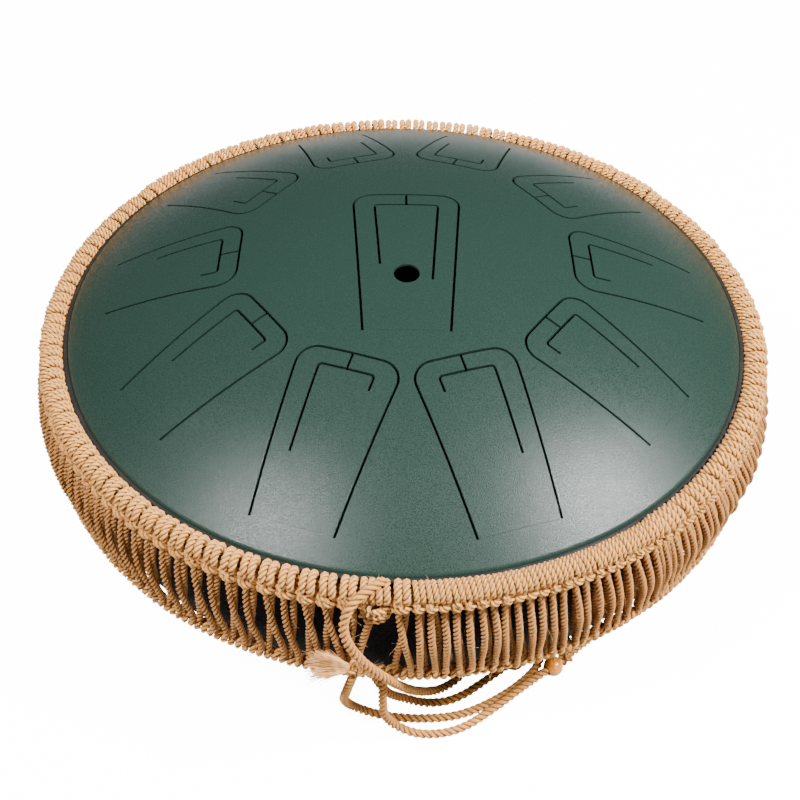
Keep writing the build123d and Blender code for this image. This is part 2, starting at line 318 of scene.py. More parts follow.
def makePlyGroup(settings):
    tree, given, out = newGroup(
        "plyFibre",
        [("Lay", "NodeSocketFloat", 0.9), ("Streaks", "NodeSocketFloat", 3.2)],
        [(label, "NodeSocketFloat") for label in ("Groove", "Streak", "Tone", "Height")],
    )
    uv = tree.nodes.new("ShaderNodeUVMap")
    uv.uv_map = "UVMap"
    parts = tree.nodes.new("ShaderNodeSeparateXYZ")
    tree.links.new(uv.outputs[0], parts.inputs[0])
    along, around = parts.outputs[0], parts.outputs[1]
    ply = mathNode(tree, "FRACT", mathNode(tree, "MULTIPLY", around, settings["plies"]))
    edge = mathNode(tree, "ABSOLUTE", mathNode(tree, "SUBTRACT", ply, 0.5))
    groove = remap(tree, edge, 0.0, settings["groove"], 1.0, 0.0)
    turn = mathNode(tree, "ADD", around, mathNode(tree, "DIVIDE", along, given.outputs["Lay"]))
    angle = mathNode(tree, "MULTIPLY", turn, 2 * math.pi)
    vector = tree.nodes.new("ShaderNodeCombineXYZ")
    tree.links.new(mathNode(tree, "MULTIPLY", along, settings["along"]), vector.inputs[0])
    for index, operation in ((1, "COSINE"), (2, "SINE")):
        across = mathNode(tree, "MULTIPLY", mathNode(tree, operation, angle), given.outputs["Streaks"])
        tree.links.new(across, vector.inputs[index])
    streak = remap(tree, noiseNode(tree, vector.outputs[0], *settings["streak"]), 0.3, 0.7)
    place = objectPlace(tree)
    slow = mathNode(tree, "MULTIPLY", noiseNode(tree, place, *settings["slow"]), settings["slowShare"])
    fine = mathNode(tree, "MULTIPLY", noiseNode(tree, place, *settings["fine"]), 1 - settings["slowShare"])
    tone = remap(tree, mathNode(tree, "ADD", slow, fine), 0.35, 0.65)
    height = mathNode(tree, "SUBTRACT", streak, mathNode(tree, "MULTIPLY", groove, settings["grooveDepth"]))
    for label, value in (("Groove", groove), ("Streak", streak), ("Tone", tone), ("Height", height)):
        tree.links.new(value, out.inputs[label])
    return tree


# textured powder coat: fine bumps, lighter specks painted in as glints of the grain and raised a little, and
# slow patches
coat = {
    "detail": 3.0,
    "roughness": 0.6,
    "speckEdge": (0.3, 0.08),
    "speckWhere": (0.45, 0.62),
    "patch": (14.0, 3.0),
    "patchSpan": 0.04,
    "grainSpan": 0.3,
    "speckHeight": 0.5,
}


def makeCoatGroup(settings):
    tree, given, out = newGroup(
        "powderCoat",
        [
            ("Colour", "NodeSocketColor", (0.1, 0.1, 0.1, 1)),
            ("Glint Speck Colour", "NodeSocketColor", (0.2, 0.2, 0.2, 1)),
            ("Grain", "NodeSocketFloat", 1000.0),
            ("Glint Specks", "NodeSocketFloat", 0.5),
            ("Gloss", "NodeSocketFloat", 0.3),
        ],
        [("Colour", "NodeSocketColor"), ("Roughness", "NodeSocketFloat"), ("Height", "NodeSocketFloat")],
    )
    place = objectPlace(tree)
    grain = tree.nodes.new("ShaderNodeTexNoise")
    grain.inputs["Detail"].default_value = settings["detail"]
    grain.inputs["Roughness"].default_value = settings["roughness"]
    tree.links.new(place, grain.inputs["Vector"])
    tree.links.new(given.outputs["Grain"], grain.inputs["Scale"])
    cells = tree.nodes.new("ShaderNodeTexVoronoi")
    tree.links.new(place, cells.inputs["Vector"])
    tree.links.new(given.outputs["Grain"], cells.inputs["Scale"])
    glintSpeck = remap(tree, cells.outputs["Distance"], *settings["speckEdge"])
    glintSpeck = mathNode(tree, "MULTIPLY", glintSpeck, remap(tree, grain.outputs["Fac"], *settings["speckWhere"]))
    glintSpeck = mathNode(tree, "MULTIPLY", glintSpeck, given.outputs["Glint Specks"], True)
    span = settings["patchSpan"]
    patch = remap(tree, noiseNode(tree, place, *settings["patch"]), 0.3, 0.7, -span, span)
    # painted glints: the lighter specks are mixed into the colour
    colour = mixColour(tree, glintSpeck, given.outputs["Colour"], given.outputs["Glint Speck Colour"])
    tree.links.new(colour, out.inputs["Colour"])
    rough = remap(tree, grain.outputs["Fac"], 0.4, 0.6, 0.0, settings["grainSpan"])
    rough = mathNode(tree, "ADD", mathNode(tree, "ADD", rough, patch), given.outputs["Gloss"])
    tree.links.new(rough, out.inputs["Roughness"])
    raised = mathNode(tree, "MULTIPLY", glintSpeck, settings["speckHeight"])
    tree.links.new(mathNode(tree, "ADD", grain.outputs["Fac"], raised), out.inputs["Height"])
    return tree


def newMaterial(name):
    material = bpy.data.materials.new(name)
    material.use_nodes = True
    return material, material.node_tree, material.node_tree.nodes["Principled BSDF"]


def bumpInto(tree, shader, height, distance, strength):
    bump = tree.nodes.new("ShaderNodeBump")
    bump.inputs["Distance"].default_value = distance
    bump.inputs["Strength"].default_value = strength
    tree.links.new(height, bump.inputs["Height"])
    tree.links.new(bump.outputs[0], shader.inputs["Normal"])


def useGroup(tree, group, values=()):
    node = tree.nodes.new("ShaderNodeGroup")
    node.node_tree = group
    for label, value in values:
        node.inputs[label].default_value = value
    return node


# the share of painted shade the hanging strands take between the two hoops: a darker tone that stands in for
# the shade they hang in
jutes = {
    "net": {
        "light": (1.0, 0.51, 0.125),
        "mid": (0.52, 0.195, 0.038),
        "warm": (0.58, 0.25, 0.055),
        "tan": (0.2, 0.062, 0.014),
        # deep is the painted shade colour in the grooves between plies
        "deep": (0.045, 0.011, 0.002),
        "lay": 0.72,
        "streaks": 3.2,
        "tanned": 0.5,
    },
    "tie": {
        "light": (0.84, 0.4, 0.09),
        "mid": (0.46, 0.165, 0.028),
        "warm": (0.5, 0.2, 0.038),
        # deep is the painted shade colour in the grooves between plies
        "deep": (0.06, 0.015, 0.003),
        "lay": 0.94,
        "streaks": 4.2,
        "tanned": 0.0,
    },
    # heights between which the painted shade on the hanging strands fades
    "tanTop": (0.098, 0.09),  # heights between which the darker tone fades
    "tanFoot": (0.05, 0.056),
    "warmShare": 0.45,
    # how far painted shade darkens the grooves between plies
    "grooveShadeShare": 0.9,
    "roughness": (0.9, 0.68),
    "sheen": 0.08,
    "sheenRoughness": 0.5,
    "specular": 0.15,
    "bump": (0.0003, 0.7),  # distance, strength
}


def juteMaterial(name, group, jute, settings):
    material, tree, shader = newMaterial(name)
    twist = useGroup(tree, group, [("Lay", jute["lay"]), ("Streaks", jute["streaks"])])
    body = mixColour(tree, twist.outputs["Streak"], jute["mid"], jute["light"])
    warm = mathNode(tree, "MULTIPLY", twist.outputs["Tone"], settings["warmShare"])
    body = mixColour(tree, warm, body, jute["warm"])
    # painted shade: the strands between the hoops are darkened towards a shade tone by height
    if jute["tanned"]:
        parts = tree.nodes.new("ShaderNodeSeparateXYZ")
        tree.links.new(objectPlace(tree), parts.inputs[0])
        under = remap(tree, parts.outputs[2], *settings["tanTop"])
        over = remap(tree, parts.outputs[2], *settings["tanFoot"])
        shadeMask = mathNode(tree, "MULTIPLY", mathNode(tree, "MULTIPLY", under, over), jute["tanned"])
        body = mixColour(tree, shadeMask, body, jute["tan"])
    # painted shade: the grooves between plies are darkened towards the deep colour
    deep = mathNode(tree, "MULTIPLY", twist.outputs["Groove"], settings["grooveShadeShare"])
    tree.links.new(mixColour(tree, deep, body, jute["deep"]), shader.inputs["Base Color"])
    rough = remap(tree, twist.outputs["Streak"], 0.0, 1.0, *settings["roughness"])
    tree.links.new(rough, shader.inputs["Roughness"])
    shader.inputs["Sheen Weight"].default_value = settings["sheen"]
    shader.inputs["Sheen Roughness"].default_value = settings["sheenRoughness"]
    shader.inputs["Specular IOR Level"].default_value = settings["specular"]
    bumpInto(tree, shader, twist.outputs["Height"], *settings["bump"])
    return material


# single fibres, in the tassel and standing out from the cords
hair = {
    "colours": ((0.85, 0.5, 0.2), (0.6, 0.28, 0.085)),
    "scale": 300.0,
    "roughness": (0.6, 0.8),
    "specular": 0.3,
}


def hairMaterial(name, settings):
    material, tree, shader = newMaterial(name)
    share = remap(tree, noiseNode(tree, objectPlace(tree), settings["scale"]), 0.35, 0.65)
    tree.links.new(mixColour(tree, share, *settings["colours"]), shader.inputs["Base Color"])
    tree.links.new(remap(tree, share, 0.0, 1.0, *settings["roughness"]), shader.inputs["Roughness"])
    shader.inputs["Specular IOR Level"].default_value = settings["specular"]
    return material


# the speck colours are lighter specks painted in as glints of the coat's grain
coats = {
    "green": {
        "colour": (0.0088, 0.0205, 0.0158),
        "glintSpeck": (0.05, 0.085, 0.072),
        "grain": 1900.0,
        "glintSpecks": 0.3,
        "gloss": 0.16,
        "specular": 0.17,
    },
    "black": {
        "colour": (0.0025, 0.0024, 0.0022),
        "glintSpeck": (0.012, 0.012, 0.011),
        "grain": 1300.0,
        "glintSpecks": 0.3,
        "gloss": 0.55,
        "specular": 0.06,
    },
    "bump": (0.0002, 0.5),
}


def coatMaterial(name, group, tone, bump):
    material, tree, shader = newMaterial(name)
    values = [("Colour", (*tone["colour"], 1)), ("Glint Speck Colour", (*tone["glintSpeck"], 1))]
    values += [("Grain", tone["grain"]), ("Glint Specks", tone["glintSpecks"]), ("Gloss", tone["gloss"])]
    paint = useGroup(tree, group, values)
    tree.links.new(paint.outputs["Colour"], shader.inputs["Base Color"])
    tree.links.new(paint.outputs["Roughness"], shader.inputs["Roughness"])
    shader.inputs["Specular IOR Level"].default_value = tone["specular"]
    bumpInto(tree, shader, paint.outputs["Height"], *bump)
    return material


rubbers = {
    "trim": ((0.006, 0.0055, 0.005), (0.05, 0.045, 0.04)),  # rubber, then the dust on it
    "foot": ((0.018, 0.018, 0.018), (0.1, 0.1, 0.1)),
    "fine": (1400.0, 3.0, 0.6),
    "wide": (60.0, 4.0, 0.6),
    "dustShare": 0.35,
    "roughness": (0.55, 0.75),
    "specular": 0.2,
    "bump": (0.0002, 0.3),
}


def rubberMaterial(name, tones, settings):
    material, tree, shader = newMaterial(name)
    place = objectPlace(tree)
    fine = noiseNode(tree, place, *settings["fine"])
    wide = remap(tree, noiseNode(tree, place, *settings["wide"]), 0.45, 0.75)
    share = mathNode(tree, "MULTIPLY", wide, mathNode(tree, "MULTIPLY", fine, settings["dustShare"]))
    tree.links.new(mixColour(tree, share, *tones), shader.inputs["Base Color"])
    tree.links.new(remap(tree, fine, 0.3, 0.7, *settings["roughness"]), shader.inputs["Roughness"])
    shader.inputs["Specular IOR Level"].default_value = settings["specular"]
    bumpInto(tree, shader, fine, *settings["bump"])
    return material


wood = {
    "light": (0.8, 0.28, 0.012),
    "mid": (0.6, 0.18, 0.008),
    "dark": (0.36, 0.09, 0.005),
    "stretch": (220.0, 60.0, 900.0),
    "turn": (0.5, 0.3, 0.2),
    "grain": (1.0, 4.0, 0.6),
    "rings": {"Scale": 130.0, "Distortion": 3.0, "Detail": 2.0},
    "ringShare": 0.35,
    "roughness": (0.28, 0.4),
    "coat": 0.7,
    "coatRoughness": 0.12,
    "bump": (0.00006, 0.4),
}


def woodMaterial(name, settings):
    material, tree, shader = newMaterial(name)
    place = objectPlace(tree)
    stretch = tree.nodes.new("ShaderNodeMapping")
    stretch.inputs["Scale"].default_value = settings["stretch"]
    stretch.inputs["Rotation"].default_value = settings["turn"]
    tree.links.new(place, stretch.inputs["Vector"])
    grain = noiseNode(tree, stretch.outputs[0], *settings["grain"])
    rings = tree.nodes.new("ShaderNodeTexWave")
    for label, value in settings["rings"].items():
        rings.inputs[label].default_value = value
    tree.links.new(place, rings.inputs["Vector"])
    body = mixColour(tree, remap(tree, grain, 0.35, 0.7), settings["light"], settings["mid"])
    ringed = mathNode(tree, "MULTIPLY", rings.outputs["Fac"], settings["ringShare"])
    tree.links.new(mixColour(tree, ringed, body, settings["dark"]), shader.inputs["Base Color"])
    tree.links.new(remap(tree, grain, 0.3, 0.7, *settings["roughness"]), shader.inputs["Roughness"])
    shader.inputs["Coat Weight"].default_value = settings["coat"]
    shader.inputs["Coat Roughness"].default_value = settings["coatRoughness"]
    bumpInto(tree, shader, grain, *settings["bump"])
    return material


steel = {
    "colour": (0.62, 0.62, 0.6),
    "stain": (0.28, 0.26, 0.22),
    "fine": (2200.0, 3.0, 0.6),
    "stainNoise": (500.0, 3.0),
    "stainShare": 0.5,
    "roughness": (0.28, 0.48),
    "bump": (0.00005, 0.3),
}


def steelMaterial(name, settings):
    material, tree, shader = newMaterial(name)
    place = objectPlace(tree)
    fine = noiseNode(tree, place, *settings["fine"])
    stain = remap(tree, noiseNode(tree, place, *settings["stainNoise"]), 0.4, 0.7)
    stain = mathNode(tree, "MULTIPLY", stain, settings["stainShare"])
    tree.links.new(mixColour(tree, stain, settings["colour"], settings["stain"]), shader.inputs["Base Color"])
    shader.inputs["Metallic"].default_value = 1.0
    tree.links.new(remap(tree, fine, 0.3, 0.7, *settings["roughness"]), shader.inputs["Roughness"])
    bumpInto(tree, shader, fine, *settings["bump"])
    return material


def makeMaterials():
    ply, powder = makePlyGroup(fibre), makeCoatGroup(coat)
    return {
        "green": coatMaterial("green_powder_coat", powder, coats["green"], coats["bump"]),
        "black": coatMaterial("black_powder_coat", powder, coats["black"], coats["bump"]),
        "net": juteMaterial("jute_net", ply, jutes["net"], jutes),
        "tie": juteMaterial("jute_tie", ply, jutes["tie"], jutes),
        "hair": hairMaterial("jute_fibre", hair),
        "trim": rubberMaterial("trim_rubber", rubbers["trim"], rubbers),
        "foot": rubberMaterial("foot_rubber", rubbers["foot"], rubbers),
        "wood": woodMaterial("bead_wood", wood),
        "steel": steelMaterial("screw_zinc", steel),
    }


def paintNode(name, material):
    obj = nodes[name]
    obj.data.materials.clear()
    obj.data.materials.append(material)


def paintDrum(materials):
    for name in nodes:
        if name.startswith("tongue_") or name == "top_shell":
            paintNode(name, materials["green"])
        elif name in ("bottom_shell", "seam_weld"):
            paintNode(name, materials["black"])
        elif name == "rim_trim":
            paintNode(name, materials["trim"])
        elif name in ("foot_screws", "foot_nuts"):
            paintNode(name, materials["steel"])
        elif name.startswith("foot_"):
            paintNode(name, materials["foot"])


# the net: units of wraps, a collar and hanging strands, in five stretches round the rim
net = {
    "knotAngle": -4.0,
    "knotHalf": 0.0068,
    "core": 0.0022,
    "lay": 0.0072,
    "wobble": 0.08,
    "pieces": 8,
    "grainLength": 3.2,
    "collarUp": -0.0046,
    "edgeCore": 0.0014,
    "edgeCord": 0.0017,
    "edgeReach": 0.002,
    "edgeOut": 0.0012,
    "edgeTurns": 320,
    "edgeSpots": 8,
    "edgeLoose": 0.0002,
    "leans": (  # how far a strand's foot lies past its top, by degrees round the rim
        (0, 0.001), (26, 0.002), (48, 0.009), (70, 0.012), (125, 0.012),
        (150, 0.004), (300, 0.0035), (330, 0.0005), (360, 0.001),
    ),
    "bulges": (  # how far the strands stand out halfway down
        (0, 0.001), (30, 0.0018), (60, 0.005), (120, 0.005), (150, 0.003),
        (236, 0.003), (255, 0.0044), (300, 0.0042), (335, 0.0016), (360, 0.001),
    ),
    # a stretch ends at an angle; a collar is its half width, depth and turns, and a strand its top and
    # foot along the rim and its layer outwards
    "zones": [
        {
            "to": 38, "pitch": 0.0052, "wraps": 2, "wrap": 0.00135, "slant": 0.0009, "grow": 1.0,
            "collar": (0.0026, 0.0046, 1.4), "collarCord": 0.0016, "strand": 0.00178,
            "strands": ((-0.0002, 0.001, 0.002), (0.0008, 0.0032, -0.0016)),
        },
        {
            "to": 128, "pitch": 0.0086, "wraps": 2, "wrap": 0.0019, "slant": 0.0022, "grow": 1.04,
            "collar": (0.004, 0.0046, 1.4), "collarCord": 0.0018, "strand": 0.00172,
            "strands": (
                (-0.0024, -0.0016, 0.0008), (0.0004, 0.0012, 0.0016), (0.0028, 0.0042, 0.0),
                (0.0, -0.001, -0.0044), (0.003, 0.002, -0.004),
            ),
        },
        {
            "to": 236, "pitch": 0.0084, "wraps": 2, "wrap": 0.002, "slant": 0.001, "grow": 1.2,
            "collar": (0.0036, 0.0034, 1.5), "collarCord": 0.0017, "strand": 0.0017,
            "strands": ((-0.0018, -0.003, 0.0005), (0.0018, 0.003, 0.0008)),
        },
        {
            "to": 312, "pitch": 0.0084, "wraps": 2, "wrap": 0.0018, "slant": 0.0014, "grow": 1.04,
            "collar": (0.0039, 0.0047, 1.6), "collarCord": 0.0019, "strand": 0.0017,
            "strands": (
                (-0.0022, 0.0022, 0.0018), (0.0018, -0.0014, 0.0),
                (0.0024, 0.0046, -0.0006), (0.0, 0.0012, -0.0044),
            ),
        },
        {
            "to": 360, "pitch": 0.0086, "wraps": 2, "wrap": 0.00185, "slant": 0.0009, "grow": 1.0,
            "collar": (0.004, 0.0048, 1.6), "collarCord": 0.0019, "strand": 0.0017,
            "strands": ((-0.0018, 0.005, 0.0018), (0.0018, -0.0022, -0.0004)),
        },
    ],
}


def hoopFacts(name, core):
    low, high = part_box(name)
    return {"radius": high.x - core, "height": (low.z + high.z) / 2, "tilt": (high.z - low.z) / 2 - core}


# a spot near a hoop, so far along, out from and above its middle line
def hoopSpot(hoop, angle, along, out, up):
    radius = hoop["radius"]
    turn = math.radians(angle) + along / radius
    height = hoop["height"] + hoop["tilt"] * math.cos(turn)
    return Vector(((radius + out) * math.sin(turn), -(radius + out) * math.cos(turn), height + up))


# reads a table of angles and values, straight from one to the next
def between(table, angle):
    turn = angle % 360
    for (start, first), (end, last) in zip(table, table[1:]):
        if turn <= end:
            return first + (last - first) * (turn - start) / (end - start)


def zoneAt(angle, zones):
    turn = angle % 360
    return next(zone for zone in zones if turn <= zone["to"])


def unitAngles(settings, radius):
    gap = math.degrees(settings["knotHalf"] / radius)
    angle, end = settings["knotAngle"] + gap, settings["knotAngle"] + 360 - gap
    angles = []
    while True:
        pitch = math.degrees(zoneAt(angle, settings["zones"])["pitch"] / radius)
        if angle + pitch > end:
            break
        angles.append(angle + pitch / 2)
        angle += pitch
    spare = (end - angle) / len(angles)
    return [a + spare * (i + 0.5) for i, a in enumerate(angles)]


# turns of cord over the hoop; the path of a turn is so far out and up from the hoop's middle
wraps = {
    "path": (
        (-0.0015, -0.0045), (-0.004, -0.0028), (-0.0043, 0.0012), (-0.0014, 0.004),
        (0.0025, 0.0038), (0.0045, 0.0016), (0.0047, -0.0008), (0.0036, -0.0028), (0.0014, -0.0042),
    ),
    "slantSpread": 0.0005,
    "packing": 0.96,
    "pinch": 0.28,
    "lift": (-0.0002, 0.0003),
    "loose": 0.0001,
}


def addWraps(curve, hoop, angle, zone, cord, grow, settings):
    count, radius, path = zone["wraps"], zone["wrap"], settings["path"]
    slant = zone["slant"] + chance.gauss(0, settings["slantSpread"])
    pinch = 1 - settings["pinch"] * (count > 1)
    last = len(path) - 1
    for index in range(count):
        middle = (index - (count - 1) / 2) * 2 * radius * settings["packing"]
        lift = chance.uniform(*settings["lift"])
        points = []
        for step, (out, up) in enumerate(path):
            close = pinch if step in (0, last, last - 1) else 1
            loose = chance.uniform(-settings["loose"], settings["loose"])
            along = middle * close + slant * (step / last - 0.5) * 2 + loose
            away = out + (lift if out > 0 else 0)
            points.append(hoopSpot(hoop, angle, along, away * grow, up * grow + lift))
        addRun(curve, points, radius, cord["lay"], "NURBS", chance.uniform(0, 6), cord["wobble"])


# the turns that draw a unit together, just under the hoop
collars = {"points": 8, "start": (2.6, 4.2), "widen": 1.12, "out": 0.0014, "rise": 1.7}


def addCollar(curve, hoop, angle, size, up, radius, cord, settings):
    half, deep, turns = size
    count = round(settings["points"] * turns)
    start = chance.uniform(*settings["start"])
    points = []
    for step in range(count + 1):
        turn = start + 2 * math.pi * turns * step / count
        rise = up + (0.5 - step / count) * radius * settings["rise"] * turns
        along, out = half * settings["widen"] * math.sin(turn), settings["out"] - deep * math.cos(turn)
        points.append(hoopSpot(hoop, angle, along, out, rise))
    addRun(curve, points, radius, cord["lay"], "NURBS", chance.uniform(0, 6), cord["wobble"])


# where a strand leaves the upper hoop, hangs and reaches the lower one: (out, up) of each of its spots
strands = {
    "head": (0.0008, -0.0045),
    "under": (0.0014, -0.0095),
    "knee": (0.0012, 0.0075),
    "end": (0.0026, 0.0022),
    "headShare": 0.7,
    "kneeShare": 0.97,
    "between": (0.25, 0.5, 0.75),
    "footSpread": 0.0009,
    "topSpread": 0.0003,
    "bow": 0.0012,
    "layerStand": 0.8,
    "loose": (-0.0002, 0.0003),
    "steps": 6,
}


def addStrands(curve, upper, lower, angle, zone, cord, settings, anchors):
    lean, bulge = between(cord["leans"], angle), between(cord["bulges"], angle)
    (headOut, headUp), (underOut, underUp) = settings["head"], settings["under"]
    (kneeOut, kneeUp), (endOut, endUp) = settings["knee"], settings["end"]
    for top, foot, layer in zone["strands"]:
        foot += lean + chance.gauss(0, settings["footSpread"])
        top += chance.uniform(-settings["topSpread"], settings["topSpread"])
        head = hoopSpot(upper, angle, top * settings["headShare"], headOut, headUp)
        under = hoopSpot(upper, angle, top, underOut + layer * 0.3 + bulge * 0.5, underUp)
        end = hoopSpot(lower, angle, foot, endOut + layer * 0.5, endUp)
        knee = hoopSpot(lower, angle, foot * settings["kneeShare"], kneeOut + layer, kneeUp)
        bow = chance.uniform(-settings["bow"], settings["bow"])
        points = [head, under]
        for share in settings["between"]:
            point = under.lerp(knee, share)
            outward = Vector((point.x, point.y, 0)).normalized()
            side = Vector((-outward.y, outward.x, 0))
            swing = math.sin(math.pi * share)
            stand = (layer * settings["layerStand"] + bulge) * swing + chance.uniform(*settings["loose"])
            points.append(point + outward * stand + side * bow * swing)
        points += [knee, end]
        anchors.append(points[3])
        phase = chance.uniform(0, 6)
        addRun(curve, points, zone["strand"], cord["lay"], "NURBS", phase, cord["wobble"], settings["steps"])


# the lower edge: one cord wound along a thin hoop
def addEdgeWind(curve, lower, start, end, settings, anchors):
    turns, reach, spots = settings["edgeTurns"], settings["edgeReach"], settings["edgeSpots"]
    first, last = round(start * turns * spots / 360), round(end * turns * spots / 360)
    points = []
    for step in range(first, last + 1):
        turn = 2 * math.pi * step / spots
        around = reach + chance.uniform(-settings["edgeLoose"], settings["edgeLoose"])
        out = settings["edgeOut"] + around * math.cos(turn)
        up = around * math.sin(turn) - settings["edgeOut"]
        point = hoopSpot(lower, 360 * step / (turns * spots), 0, out, up)
        points.append(point)
        if step % spots == 0:
            anchors.append(point)
    addRun(curve, points, settings["edgeCord"], settings["lay"], "NURBS", 0, settings["wobble"])


def addHoopRope(curve, hoop, start, end, radius, out, lay):
    spacing = 1.5  # degrees between points
    steps = max(6, round((end - start) / spacing))
    points = [hoopSpot(hoop, start + (end - start) * i / steps, 0, out, -out) for i in range(steps + 1)]
    addRun(curve, points, radius, lay, "POLY")


def makeNet(settings, material, section):
    upper = hoopFacts("upper_hoop", settings["core"])
    lower = hoopFacts("lower_hoop", settings["core"])
    angles = unitAngles(settings, upper["radius"])
    anchors = []
    lay = settings["lay"]
    share = 360 / settings["pieces"]
    replaced = ["upper_hoop", "lower_hoop", "net_hitches", "net_edge_knots", "net_strands"]
    for index in range(settings["pieces"]):
        name = "net_" + str(index + 1)
        curve = bpy.data.curves.new(name, "CURVE")
        start = settings["knotAngle"] + share * index
        for angle in angles:
            if not start <= angle < start + share:
                continue
            zone = zoneAt(angle, settings["zones"])
            addWraps(curve, upper, angle, zone, settings, zone["grow"], wraps)
            up, radius = settings["collarUp"], zone["collarCord"]
            addCollar(curve, upper, angle, zone["collar"], up, radius, settings, collars)
            addStrands(curve, upper, lower, angle, zone, settings, strands, anchors)
            anchors.append(hoopSpot(upper, angle, 0, 0.003, 0.004))  # on the outside of the wraps
        addEdgeWind(curve, lower, start, start + share, settings, anchors)
        addHoopRope(curve, upper, start, start + share, settings["core"], 0, lay)
        addHoopRope(curve, lower, start, start + share, settings["edgeCore"], settings["edgeOut"], lay)
        mesh = curveMesh(curve, name, section)
        scaleAlong(mesh, settings["grainLength"])
        addPiece(name, mesh, material, replaced)
    print("net:", len(angles), "units")
    return upper, lower, anchors


# the start knot: four upright turns, three level ones and one strand; spots are (along, out, up)
startKnot = {
    "turns": {"wraps": 4, "wrap": 0.00165, "slant": 0.0004},
    "collars": (  # up, half width, depth, turns
        (-0.0052, 0.0056, 0.0056, 1.1),
        (-0.0084, 0.0062, 0.0058, 1.1),
        (-0.0116, 0.0052, 0.0048, 1.1),
    ),
    "head": (-0.001, 0.0012, -0.0085),
    "bend": (-0.001, 0.0014, -0.014),
    "end": (-0.0085, 0.0026, 0.003),
    "grow": 1.06,
    "radius": 0.0019,
    "lay": 0.0072,
    "wobble": 0.04,
    "steps": 10,
}


def makeStartKnot(settings, upper, lower, material, section, netSettings):
    curve = bpy.data.curves.new("start", "CURVE")
    angle, radius = netSettings["knotAngle"], settings["radius"]
    addWraps(curve, upper, angle, settings["turns"], settings, settings["grow"], wraps)
    for up, half, deep, turns in settings["collars"]:
        addCollar(curve, upper, angle, (half, deep, turns), up, radius, settings, collars)
    head = hoopSpot(upper, angle, *settings["head"])
    end = hoopSpot(lower, angle, *settings["end"])
    bend = hoopSpot(upper, angle, *settings["bend"])
    points = [head, bend, head.lerp(end, 0.5), head.lerp(end, 0.8), end]
    addRun(curve, points, radius, settings["lay"], "NURBS", 0, settings["wobble"], settings["steps"])
    mesh = curveMesh(curve, "start_knot_cord", section)
    scaleAlong(mesh, netSettings["grainLength"])
    addPiece("start_knot_cord", mesh, material, ["start_knot"])


# small overhand knots on the ends of the cords
knots = {
    "size": 0.00125,
    "radius": 0.00135,
    "lay": 0.0066,
    "wobble": 0.03,
    "points": 20,
    "reach": 1.6,
    "weave": 1.1,
    "steps": 5,
    "grainLength": 5,
}


def knotMesh(name, centre, axis, settings, section):
    curve = bpy.data.curves.new(name, "CURVE")
    spin = axis.to_track_quat("Z", "Y")
    reach, weave = settings["reach"], settings["weave"]
    points = []
    for step in range(settings["points"] + 1):
        turn = 2 * math.pi * step / settings["points"]
        x = math.sin(turn) + reach * math.sin(2 * turn)
        y = math.cos(turn) - reach * math.cos(2 * turn)
        spot = Vector((x, y, -weave * math.sin(3 * turn)))
        points.append(centre + spin @ (spot * settings["size"]))
    radius, lay, wobble = settings["radius"], settings["lay"], settings["wobble"]
    addRun(curve, points, radius, lay, "NURBS", 0, wobble, settings["steps"])
    mesh = curveMesh(curve, name, section)
    scaleAlong(mesh, settings["grainLength"])
    return mesh


def nearestWay(line, spot):
    index = min(range(1, len(line) - 1), key=lambda i: (line[i] - spot).length)
    return (line[index + 1] - line[index - 1]).normalized()


def centreOf(name):
    low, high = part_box(name)
    return (low + high) / 2


def makeKnots(settings, cords, material, section):
    made = {}
    for key, node in (("short", "stopper_short"), ("long", "stopper_long"), ("loop", "tassel_knot")):
        centre = centreOf(node)
        mesh = knotMesh(node + "_cord", centre, nearestWay(cords[key][1], centre), settings, section)
        made[key] = addPiece(node + "_cord", mesh, material, [node])
    return made


# turned beads with a rounded bore
beads = {"radius": 0.00475, "bore": 0.0021, "flat": 0.0009, "round": 0.0005, "rings": 16, "steps": 48}


def makeBead(node, way, settings, material):
    radius, bore = settings["radius"], settings["bore"]
    half = radius - settings["flat"] / 2
    work = bmesh.new()
    profile = []
    rise = math.asin(half / radius)
    for step in range(settings["rings"] + 1):
        turn = -rise + 2 * rise * step / settings["rings"]
        profile.append((radius * math.cos(turn), radius * math.sin(turn)))
    lip = settings["round"]
    inset = lip * 0.3  # where the rounded lip passes between its ends
    profile += [(bore + lip, half), (bore + inset, half - inset), (bore, half - lip)]
    profile += [(bore, -half + lip), (bore + inset, -half + inset), (bore + lip, -half)]
    ring = [work.verts.new((x, 0, z)) for x, z in profile]
    edges = [work.edges.new((a, b)) for a, b in zip(ring, ring[1:] + ring[:1])]
    bmesh.ops.spin(
        work, geom=ring + edges, cent=(0, 0, 0), axis=(0, 0, 1), dvec=(0, 0, 0), angle=2 * math.pi,
        steps=settings["steps"], use_merge=True, use_normal_flip=False, use_duplicate=False,
    )
    bmesh.ops.remove_doubles(work, verts=work.verts, dist=1e-6)
    bmesh.ops.recalc_face_normals(work, faces=work.faces)
    onCord = Matrix.Translation(centreOf(node)) @ way.to_track_quat("Z", "Y").to_matrix().to_4x4()
    bmesh.ops.transform(work, matrix=onCord, verts=work.verts)
    mesh = bpy.data.meshes.new(node + "_turned")
    work.to_mesh(mesh)
    work.free()
    return addPiece(node + "_turned", mesh, material, [node])


def scatter():
    return Vector((chance.gauss(0, 1), chance.gauss(0, 1), chance.gauss(0, 1)))


def fibreCurve(name, steps):
    curve = bpy.data.curves.new(name, "CURVE")
    curve.dimensions = "3D"
    curve.resolution_u = steps
    curve.bevel_depth = 1.0
    curve.bevel_resolution = 0
    return curve


def fibreSpline(curve, count):
    spline = curve.splines.new("NURBS")
    spline.points.add(count - 1)
    spline.order_u = 4
    spline.use_endpoint_u = True
    return spline


# the frayed end
tassel = {
    "count": 620,
    "length": (0.011, 0.019),
    "shorten": (0.75, 0.3),  # least share of the length, and how much may be added
    "spread": 0.36,
    "flat": 0.62,
    "thin": (0.0001, 0.0002),
    "thick": 2.2,
    "thickCount": 54,
    "root": 0.0019,
    "start": 0.0022,
    "bend": 0.0013,
    "drop": 0.0006,
    "taper": 0.5,
}


